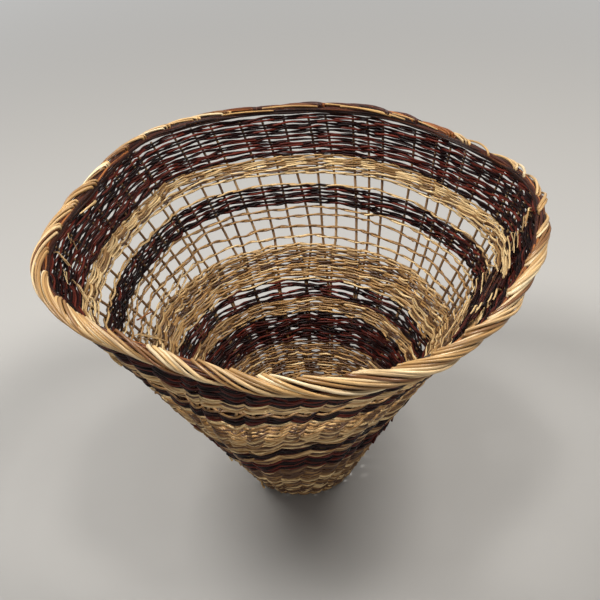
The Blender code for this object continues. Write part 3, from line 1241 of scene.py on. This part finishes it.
@dataclass
class RopeBorder:
    """The border: bundles of peeled rods that come up inside the mouth, bend over it and go down outside.

    A turn share is the way round the border's own section, from 0 at the outside to 0.25 on top. A
    share of 0 is a rod's bend, 1 its tail outside and -1 its root inside. The crest is how much
    the middle rods of a bundle stand over its outer ones.
    """

    wall: Wall
    finish: RodFinish = BORDER_WILLOW
    stroke: PaleStroke = PaleStroke()
    strands: int = 4
    bundles_each: int = 10
    start_stray: float = 0.17
    width_share: float = 1.04
    radius: float = 0.00188
    thickness: Range = (0.76, 1.16)
    root_thickness: Range = (0.85, 1.0)
    tail_thickness: Range = (0.6, 0.9)
    taper_from: float = 0.3
    head_stray: float = 0.014
    rod_head_stray: float = 0.009
    tail_turn_share: float = -0.13
    tail_stray: float = 0.02
    root_turn_share: float = 0.075
    root_share: float = 0.12
    root_depth: float = 0.0058
    root_curve: float = 1.2
    root_slope: float = 0.9
    head_slope: float = 1.4
    slope_spread: Range = (0.72, 1.28)
    bend_share: float = 0.14
    tuck: float = 0.0036
    tuck_share: float = 0.42
    tuck_curve: float = 1.5
    crown: float = 0.0005
    crest: float = 0.0015
    crest_base: float = 0.5
    lift: Range = (-0.0007, 0.0011)
    rod_lift: float = 0.00040
    tint: float = 0.57
    tint_spread: float = 0.15
    rod_tint_spread: float = 0.30
    dark_shift: float = 0.20
    steps: int = 44
    step_curve: float = 1.25
    root_steps: int = 8
    sides: int = 8
    seed: int = 47

    def build(self, material: bpy.types.Material, core_material: bpy.types.Material) -> None:
        """Builds each strand's pale bundles as one piece, and the dark bundles as another.

        Args:
            material: The material of the peeled rods.
            core_material: The material of the red-brown rods.
        """
        rng = np.random.default_rng(self.seed)
        dark = RodBundle(rng, sides=self.sides)
        for strand in range(self.strands):
            bundle = RodBundle(rng, sides=self.sides)
            for turn in range(self.bundles_each):
                number = turn * self.strands + strand
                stretch = self.stretch(self.spacing * number)
                self.add_bundle(dark if stretch.dark else bundle, rng, number, stretch)
                if stretch.dark:
                    self.add_stroke(bundle, rng, number)
            node = f"border_strand_{strand + 1}"
            hand_over(bundle.make(f"{node}_rods", material), node)
        hand_over(dark.make("border_dark_rods", core_material))

    @property
    def spacing(self) -> float:
        """The angle from one bundle to the next."""
        return TURN / (self.strands * self.bundles_each)

    @property
    def most_width(self) -> float:
        """The most that a bundle may take up along the mouth."""
        return self.width_share * self.spacing * self.wall.mouth_radius

    @staticmethod
    def stretch(angle: float) -> BorderStretch:
        """The stretch of the border that an angle lies in."""
        degrees = math.degrees(angle) % 360.0
        return next(item for item in BORDER_STRETCHES if item.first <= degrees < item.last)

    def add_bundle(
        self, bundle: RodBundle, rng: np.random.Generator, number: int, lie: BorderStretch
    ) -> None:
        """Lays one bundle over the mouth.

        Args:
            bundle: Where its rods go.
            rng: The source of its small differences.
            number: The bundle's number round the mouth.
            lie: How the bundles of its stretch lie.
        """
        start = self.spacing * (number + rng.normal(0.0, self.start_stray))
        count = int(rng.integers(lie.fewest_rods, lie.most_rods + 1))
        tint = rng.normal(self.tint, self.tint_spread) - (self.dark_shift if lie.dark else 0.0)
        lift = rng.uniform(*self.lift)
        slope = lie.slope * rng.uniform(*self.slope_spread)
        turned = rng.normal(0.0, self.head_stray)
        root = np.linspace(-1.0, 0.0, self.root_steps, endpoint=False)
        share = np.concatenate([root, np.linspace(0.0, 1.0, self.steps) ** self.step_curve])
        over = np.clip(share, 0.0, 1.0)
        under = np.clip(-share, 0.0, 1.0)
        for rod in range(count):
            size = self.radius * lie.size_share * rng.uniform(*self.thickness)
            head = lie.head + turned + rng.normal(0.0, self.rod_head_stray)
            tail = self.tail_turn_share + rng.normal(0.0, self.tail_stray)
            phase = TURN * (head + (tail - head) * over + self.root_turn_share * under)
            arc = TURN * (head - tail) * lie.orbit
            settled = self.bend_share * (1 - np.exp(-over / self.bend_share))
            run = arc * (slope * (over - settled) + self.head_slope * settled)
            now = slope + (self.head_slope - slope) * np.exp(-over / self.bend_share)
            run = run - arc * self.root_share * self.root_slope * under
            gap = 2 * self.radius * lie.size_share * np.sqrt(1 + now**2)
            gap = gap * min(1.0, self.most_width / (count * float(gap[-1])))
            angle = start + (run + (rod - (count - 1) / 2) * gap) / self.wall.mouth_radius
            place = (2 * rod - (count - 1)) / max(count - 1, 1)
            crest = self.crest * (self.crest_base - place**2)
            rise = self.rise(over, under) + lift + crest + rng.normal(0.0, self.rod_lift)
            path, arm = self.wall.rim_section(angle, phase, border_orbit(angle) + rise)
            ends = [rng.uniform(*self.root_thickness), 1.0, rng.uniform(*self.tail_thickness)]
            radii = size * np.interp(share, [-1.0, self.taper_from, 1.0], ends)
            bundle.add(path, radii, arm, tint + rng.normal(0.0, self.rod_tint_spread))

    def rise(self, over: Array, under: Array) -> Array:
        """How far a rod lies over the border's orbit along its run.

        Args:
            over: Its share from the bend to the tail outside, 0 before the bend.
            under: Its share from the bend to the root inside, 0 after the bend.

        Returns:
            The rise at each place, below 0 where the root and the tail go in under other rods.
        """
        sunk = np.clip((over - 1 + self.tuck_share) / self.tuck_share, 0.0, 1.0) ** self.tuck_curve
        tucked = -self.root_depth * under**self.root_curve - self.tuck * sunk
        return tucked + self.crown * np.sin(math.pi * over)

    def add_stroke(self, bundle: RodBundle, rng: np.random.Generator, number: int) -> None:
        """Lays one thin pale rod along the dark part of the border.

        Args:
            bundle: Where the rod goes.
            rng: The source of its place and colour.
            number: The number of the bundle that it lies over.
        """
        stroke = self.stroke
        start = self.spacing * (number + rng.uniform(*stroke.start))
        length = rng.uniform(*stroke.length) / self.wall.mouth_radius
        angle = np.linspace(start, start + length, self.steps // 2)
        share = np.linspace(0.0, 1.0, len(angle))
        phase = TURN * (rng.uniform(*stroke.head) - rng.uniform(*stroke.turn) * share)
        reach = border_orbit(angle) + stroke.arch * np.sin(math.pi * share) - stroke.sink
        path, arm = self.wall.rim_section(angle, phase, reach)
        radii = np.full(len(angle), self.radius * rng.uniform(*stroke.thickness))
        bundle.add(path, radii, arm, rng.normal(stroke.tint, stroke.tint_spread))


@dataclass(frozen=True)
class LooseEnds:
    """Short lengths of rod that lie against the inside of the wall, from one place on it to another.

    A place is a level and an angle in degrees. A range holds the least and the most of what is
    drawn for each rod.
    """

    name: str
    finish: RodFinish
    start: tuple[float, float]
    end: tuple[float, float]
    count: int
    spread: float
    radius: float
    standoff: float = 0.0040
    tint: float = 0.6
    tint_spread: float = 0.2
    stray: float = 0.0012
    fan: float = 0.0024
    length_share: float = 1.0
    length_spread: Range = (0.8, 1.2)
    start_stray: float = 0.10
    curl: Range = (0.0, 0.003)
    layers: Range = (0.0, 2.0)
    thickness: Range = (0.8, 1.15)
    tip_thickness: Range = (0.5, 0.9)
    emerge_share: float = 0.05
    steps: int = 14
    sides: int = 7

    def build(self, wall: Wall, material: bpy.types.Material, seed: int) -> None:
        """Builds the group as one piece.

        Args:
            wall: The wall that it lies against.
            material: The finish's material.
            seed: The seed of its small differences.
        """
        rng = np.random.default_rng(seed)
        bundle = RodBundle(rng, sides=self.sides)
        share = np.linspace(0.0, 1.0, self.steps)
        for rod in range(self.count):
            across = (rod / max(self.count - 1, 1) - 0.5) * self.spread + rng.normal(0.0, self.stray)
            fan = rng.normal(0.0, self.fan)
            first = rng.uniform(0.0, 1 - self.length_share) + rng.normal(0.0, self.start_stray)
            run = first + self.length_share * rng.uniform(*self.length_spread) * share
            level = self.start[0] + (self.end[0] - self.start[0]) * run
            level = level + (across + fan * share) / wall.slant
            angle = np.radians(self.start[1] + (self.end[1] - self.start[1]) * run)
            curl = rng.uniform(*self.curl) * share**2
            stacked = self.standoff + self.radius * rng.uniform(*self.layers)
            out = -stacked * (1 - np.exp(-share / self.emerge_share)) - curl
            size = self.radius * rng.uniform(*self.thickness)
            radii = size * np.linspace(1.0, rng.uniform(*self.tip_thickness), self.steps)
            path = wall.place(level, angle, out, np.zeros_like(share))
            tint = rng.normal(self.tint, self.tint_spread)
            bundle.add(path, radii, wall.outward(level, angle), tint)
        hand_over(bundle.make(self.name, material))


@dataclass(frozen=True)
class Lamp:
    """A soft square lamp that faces the basket."""

    name: str
    place: Place
    side: float
    power: float
    colour: Colour
    aim: Place = (0.0, 0.0, 0.25)

    def hang(self) -> None:
        """Hangs the lamp and turns it to the basket."""
        light = bpy.data.lights.new(self.name, "AREA")
        light.size = self.side
        light.energy = self.power
        light.color = self.colour
        lamp = bpy.data.objects.new(self.name, light)
        lamp.location = self.place
        lamp.rotation_euler = (Vector(self.aim) - lamp.location).to_track_quat("-Z", "Y").to_euler()
        bpy.context.scene.collection.objects.link(lamp)


LAMPS = (
    Lamp("key_right", (1.05, 0.15, 2.0), 0.6, 36.0, (1.0, 0.95, 0.88)),
    Lamp("key_left", (-1.05, 0.10, 1.9), 0.6, 38.5, (1.0, 0.96, 0.90)),
    Lamp("fill_front", (0.10, -1.5, 0.35), 0.4, 3.0, (1.0, 0.93, 0.84)),
)


@dataclass
class Studio:
    """The pale floor, the even light of the room, the lamps and the camera."""

    floor_colour: Colour = (0.455, 0.455, 0.452)
    floor_roughness: float = 0.9
    floor_specular: float = 0.1
    floor_reach: float = 20.0
    backdrop_colour: Colour = (0.58, 0.58, 0.575)
    fade_from: float = 0.75
    fade_until: float = 2.2
    world_colour: Colour = (0.98, 0.97, 0.97)
    world_strength: float = 0.14
    camera_place: Place = (0.0104, -0.9120, 0.9777)
    camera_yaw: float = -0.0100
    camera_pitch: float = -0.6704
    camera_roll: float = 0.0646
    focal_pixels: float = 1055.0
    image_pixels: float = 600.0
    sensor: float = 36.0

    def build(self) -> None:
        """Sets up everything that isn't the basket."""
        self.floor()
        self.world()
        for lamp in LAMPS:
            lamp.hang()
        self.camera()

    def floor(self) -> None:
        """Lays a plain pale floor under the basket."""
        bpy.ops.mesh.primitive_plane_add(size=2 * self.floor_reach, location=(0.0, 0.0, 0.0))
        floor = bpy.context.object
        floor.name = "floor"
        material = bpy.data.materials.new("floor_paper")
        material.use_nodes = True
        shader = material.node_tree.nodes["Principled BSDF"]
        shader.inputs["Base Color"].default_value = (*self.floor_colour, 1.0)
        shader.inputs["Roughness"].default_value = self.floor_roughness
        shader.inputs["Specular IOR Level"].default_value = self.floor_specular
        self.fade(material.node_tree, shader)
        floor.data.materials.append(material)

    def fade(self, tree: bpy.types.NodeTree, shader: bpy.types.Node) -> None:
        """Fades the floor into the backdrop's colour far from the basket.

        Args:
            tree: The floor material's nodes.
            shader: The node that shades the floor by the basket.
        """
        place = tree.nodes.new("ShaderNodeTexCoord")
        length = tree.nodes.new("ShaderNodeVectorMath")
        length.operation = "LENGTH"
        tree.links.new(place.outputs["Object"], length.inputs[0])
        far = tree.nodes.new("ShaderNodeMapRange")
        far.interpolation_type = "SMOOTHSTEP"
        far.inputs["From Min"].default_value = self.fade_from
        far.inputs["From Max"].default_value = self.fade_until
        tree.links.new(length.outputs["Value"], far.inputs["Value"])
        seen = tree.nodes.new("ShaderNodeMath")
        seen.operation = "MULTIPLY"
        tree.links.new(self.looking(tree), seen.inputs[0])
        tree.links.new(far.outputs["Result"], seen.inputs[1])
        backdrop = tree.nodes.new("ShaderNodeEmission")
        backdrop.inputs["Color"].default_value = (*self.backdrop_colour, 1.0)
        mix = tree.nodes.new("ShaderNodeMixShader")
        tree.links.new(seen.outputs["Value"], mix.inputs["Fac"])
        tree.links.new(shader.outputs["BSDF"], mix.inputs[1])
        tree.links.new(backdrop.outputs["Emission"], mix.inputs[2])
        tree.links.new(mix.outputs["Shader"], tree.nodes["Material Output"].inputs["Surface"])

    @staticmethod
    def looking(tree: bpy.types.NodeTree) -> bpy.types.NodeSocket:
        """A value of 1 for the rays that show a background, and 0 for those that only light the basket.

        Args:
            tree: The nodes of the world or of the floor's material.

        Returns:
            The value's socket, which is 1 for camera, glossy and transmission rays.
        """
        path = tree.nodes.new("ShaderNodeLightPath")
        total = path.outputs["Is Camera Ray"]
        for kind in ("Is Glossy Ray", "Is Transmission Ray"):
            either = tree.nodes.new("ShaderNodeMath")
            either.operation = "MAXIMUM"
            tree.links.new(total, either.inputs[0])
            tree.links.new(path.outputs[kind], either.inputs[1])
            total = either.outputs["Value"]
        return total

    def world(self) -> None:
        """Fills the room with even pale light."""
        world = bpy.data.worlds.new("room")
        bpy.context.scene.world = world
        world.use_nodes = True
        tree = world.node_tree
        fill = tree.nodes["Background"]
        fill.inputs["Color"].default_value = (*self.world_colour, 1.0)
        fill.inputs["Strength"].default_value = self.world_strength
        seen = tree.nodes.new("ShaderNodeBackground")
        seen.inputs["Color"].default_value = (*self.backdrop_colour, 1.0)
        mix = tree.nodes.new("ShaderNodeMixShader")
        tree.links.new(self.looking(tree), mix.inputs["Fac"])
        tree.links.new(fill.outputs["Background"], mix.inputs[1])
        tree.links.new(seen.outputs["Background"], mix.inputs[2])
        tree.links.new(mix.outputs["Shader"], tree.nodes["World Output"].inputs["Surface"])

    def camera(self) -> None:
        """Sets the camera where the photograph was taken from."""
        data = bpy.data.cameras.new("camera")
        data.sensor_width = self.sensor
        data.lens = self.focal_pixels * self.sensor / self.image_pixels
        yaw, pitch, roll = self.camera_yaw, self.camera_pitch, self.camera_roll
        forward = Vector(
            (math.sin(yaw) * math.cos(pitch), math.cos(yaw) * math.cos(pitch), math.sin(pitch))
        )
        level = Vector((math.cos(yaw), -math.sin(yaw), 0.0))
        down = forward.cross(level)
        right = math.cos(roll) * level + math.sin(roll) * down
        low = -math.sin(roll) * level + math.cos(roll) * down
        camera = bpy.data.objects.new("camera", data)
        turn = Matrix((right, -low, -forward)).transposed().to_4x4()
        camera.matrix_world = Matrix.Translation(Vector(self.camera_place)) @ turn
        bpy.context.scene.collection.objects.link(camera)
        bpy.context.scene.camera = camera
        bpy.context.scene.view_settings.view_transform = "Standard"


def bands(wall: Wall) -> list[TwinedBand]:
    """Every woven band from the foot of the wall to the border.

    Args:
        wall: The wall that they're woven on.

    Returns:
        The bands in order.
    """
    rows: list[tuple[str, RodFinish, float, float, int, Lay, float, float]] = [
        ("foot_weave_1", PALE_WEFT, 0.006, 0.108, 13, Lay.PAIRS, 0.00125, 0.32),
        ("foot_weave_2", PALE_WEFT, 0.108, 0.186, 10, Lay.PAIRS, 0.00122, 0.32),
        ("lower_weave_pale", PALE_WEFT, 0.186, 0.266, 10, Lay.PAIRS, 0.00125, 0.02),
        ("lower_weave_dark_1", DARK_WEFT, 0.266, 0.312, 6, Lay.PAIRS, 0.00135, 0.47),
        ("lower_weave_dark_2", DARK_WEFT, 0.312, 0.358, 6, Lay.PAIRS, 0.00135, 0.47),
        ("middle_weave_pale", PALE_WEFT, 0.358, 0.407, 7, Lay.PAIRS, 0.00120, 0.38),
        ("dark_line_lower", DARK_WEFT, 0.404, 0.428, 3, Lay.PAIRS, 0.00125, 0.50),
        ("dark_line_upper", DARK_WEFT, 0.436, 0.463, 3, Lay.OPENING, 0.00125, 0.50),
        ("broad_weave_pale_1", PALE_WEFT, 0.463, 0.518, 7, Lay.OPENING, 0.00125, 0.46),
        ("broad_weave_pale_2", PALE_WEFT, 0.518, 0.578, 7, Lay.STAKES, 0.00125, 0.50),
        ("lattice_row_1", PALE_WEFT, 0.600, 0.608, 1, Lay.STAKES, 0.00112, 0.36),
        ("lattice_row_2", PALE_WEFT, 0.632, 0.640, 1, Lay.STAKES, 0.00112, 0.36),
        ("lattice_row_3", PALE_WEFT, 0.665, 0.673, 1, Lay.STAKES, 0.00112, 0.36),
        ("dark_band_lower_edge", PALE_WEFT, 0.690, 0.704, 1, Lay.STAKES, 0.00120, 0.48),
        ("dark_band", DARK_WEFT, 0.704, 0.766, 6, Lay.STAKES, 0.00135, 0.42),
        ("dark_band_upper_edge", PALE_WEFT, 0.764, 0.772, 1, Lay.STAKES, 0.00110, 0.38),
        ("upper_weave_pale_1", PALE_WEFT, 0.803, 0.828, 3, Lay.STAKES, 0.00120, 0.52),
        ("upper_weave_pale_2", PALE_WEFT, 0.828, 0.859, 5, Lay.STAKES, 0.00122, 0.54),
        ("rim_weave_dark_1", DARK_WEFT, 0.859, 0.903, 5, Lay.STAKES, 0.00130, 0.46),
        ("rim_weave_dark_2", DARK_WEFT, 0.903, 1.0, 9, Lay.STAKES, 0.00130, 0.46),
    ]
    made = []
    for index, (node, finish, foot, top, count, lay, radius, tint) in enumerate(rows):
        band = TwinedBand(wall, node, finish, foot, top, count, lay, radius, BAND_SEED + index, tint=tint)
        band.under_border = top == 1.0
        made.append(band)
    return made


def loose_ends() -> list[LooseEnds]:
    """The rod ends and stray rods that show on the inside, by the left and right of the mouth.

    Returns:
        The groups, those on the right first.
    """
    pale, dark, red = PALE_WEFT, DARK_WEFT, RED_CORE
    return [
        LooseEnds(
            "ends_right_long", pale, (0.890, 358.0), (0.927, 343.2), 2, 0.006, 0.0010, 0.0072,
            tint=0.9,
        ),
        LooseEnds(
            "ends_right_thin", pale, (0.921, 354.5), (0.932, 345.8), 2, 0.006, 0.0008, 0.0070,
            tint=0.9,
        ),
        LooseEnds(
            "ends_right_thick", pale, (0.880, 349.0), (0.928, 335.0), 4, 0.008, 0.0014, 0.0072,
            tint=0.85,
        ),
        LooseEnds(
            "ends_right_top", pale, (0.972, 356.5), (0.966, 351.0), 4, 0.009, 0.0010, 0.0070,
            tint=0.7,
        ),
        LooseEnds(
            "ends_right_low", pale, (0.876, 334.8), (0.913, 326.0), 2, 0.007, 0.0012, 0.0070,
            tint=0.9,
        ),
        LooseEnds(
            "ends_right_stub", pale, (0.800, 336.5), (0.816, 329.8), 3, 0.009, 0.0013, 0.0060,
            tint=0.9,
        ),
        LooseEnds(
            "ends_right_stray", pale, (0.763, 356.0), (0.790, 346.0), 4, 0.016, 0.0010,
            tint=0.8, fan=0.006,
        ),
        LooseEnds(
            "ends_right_lower_stray", pale, (0.725, 352.0), (0.690, 340.0), 5, 0.022, 0.0009,
            tint=0.7, fan=0.008,
        ),
        LooseEnds(
            "dark_rods_right", dark, (0.850, 350.0), (0.822, 326.0), 30, 0.050, 0.0014,
            tint=0.42, fan=0.005, length_share=0.45,
        ),
        LooseEnds(
            "dark_rods_right_low", dark, (0.782, 350.0), (0.768, 329.0), 14, 0.026, 0.0013,
            tint=0.45, fan=0.004, length_share=0.45,
        ),
        LooseEnds(
            "red_rods_right", red, (0.880, 350.0), (0.845, 326.0), 8, 0.040, 0.0012, 0.0050,
            tint=0.45, fan=0.006, length_share=0.35,
        ),
        LooseEnds(
            "ends_left", pale, (0.966, 185.2), (0.937, 186.8), 6, 0.014, 0.0007,
            tint=0.7, fan=0.006,
        ),
        LooseEnds(
            "ends_left_small", pale, (0.961, 178.2), (0.945, 179.8), 3, 0.008, 0.0007,
            tint=0.7, fan=0.005,
        ),
        LooseEnds(
            "bent_stake_left", pale, (0.972, 163.8), (0.979, 171.5), 1, 0.0, 0.0016, 0.009,
            tint=0.6,
        ),
        LooseEnds(
            "slivers_left", pale, (0.918, 188.2), (0.870, 193.8), 5, 0.020, 0.0005,
            tint=0.9, fan=0.008,
        ),
        LooseEnds("stray_left_upper", pale, (0.632, 140.8), (0.636, 147.5), 1, 0.0, 0.0011, tint=0.9),
        LooseEnds(
            "stray_left_middle", pale, (0.613, 143.8), (0.586, 156.2), 2, 0.007, 0.0011,
            tint=0.85,
        ),
        LooseEnds("stray_left_lower", pale, (0.630, 156.0), (0.634, 164.0), 2, 0.008, 0.0010, tint=0.9),
        LooseEnds("stray_left_red", red, (0.657, 181.0), (0.627, 173.5), 1, 0.0, 0.0010, tint=0.9),
        LooseEnds("stray_left_foot", pale, (0.648, 187.8), (0.556, 178.2), 2, 0.005, 0.0009, tint=0.9),
    ]


def main() -> None:
    """Builds the basket piece by piece, then the studio round it."""
    logging.basicConfig(level=logging.INFO, format="%(message)s")
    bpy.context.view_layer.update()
    wall = Wall()
    materials = {
        finish.name: finish.material()
        for finish in (PEELED_STAKE, PALE_WEFT, DARK_WEFT, RED_CORE, BORDER_WILLOW)
    }
    BaseRounds(wall).build(materials[PALE_WEFT.name])
    StakeRods(wall).build(materials[PEELED_STAKE.name])
    for band in bands(wall):
        band.build(materials[band.finish.name])
    RimCore(wall).build(materials[RED_CORE.name])
    RopeBorder(wall).build(materials[BORDER_WILLOW.name], materials[RED_CORE.name])
    for index, ends in enumerate(loose_ends()):
        ends.build(wall, materials[ends.finish.name], seed=ENDS_SEED + index)
    Studio().build()


if __name__ == "__main__":
    main()
